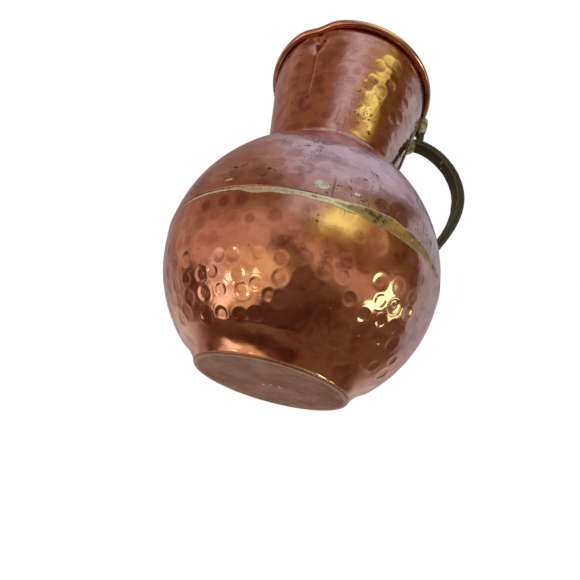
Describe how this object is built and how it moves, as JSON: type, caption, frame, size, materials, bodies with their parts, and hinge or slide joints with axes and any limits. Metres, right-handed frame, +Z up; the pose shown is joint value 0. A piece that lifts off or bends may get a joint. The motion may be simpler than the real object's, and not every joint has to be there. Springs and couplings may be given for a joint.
{
  "type": "copper water jug",
  "caption": "Hammered copper water jug with a round belly, flared neck, pinched pouring lip and a cast brass loop handle.",
  "frame": {"origin": "centre of the flat base, on the surface the jug stands on", "axes": "+Z up along the jug's own axis, +X towards the handle, -X towards the pouring lip"},
  "size_m": [0.1739, 0.1604, 0.2271],
  "materials": {
    "belly_copper": "hammered and burnished copper",
    "neck_copper": "hammered and burnished copper",
    "braze": "filed and tarnished brass spelter",
    "iron_wire": "dull drawn wire",
    "cast_brass": "dark olive patina on cast brass",
    "solder": "dull grey tinned solder"
  },
  "bodies": {
    "root": {"lower_bowl": "belly_copper", "shoulder": "belly_copper", "belly_braze": "braze", "neck": "neck_copper", "neck_root_braze": "braze", "neck_seam_braze": "braze", "rim_wire": "iron_wire", "handle": "cast_brass", "brace_solder": "solder", "handle_root_solder": "solder", "handle_tail_solder": "solder"}
  },
  "joints": []
}
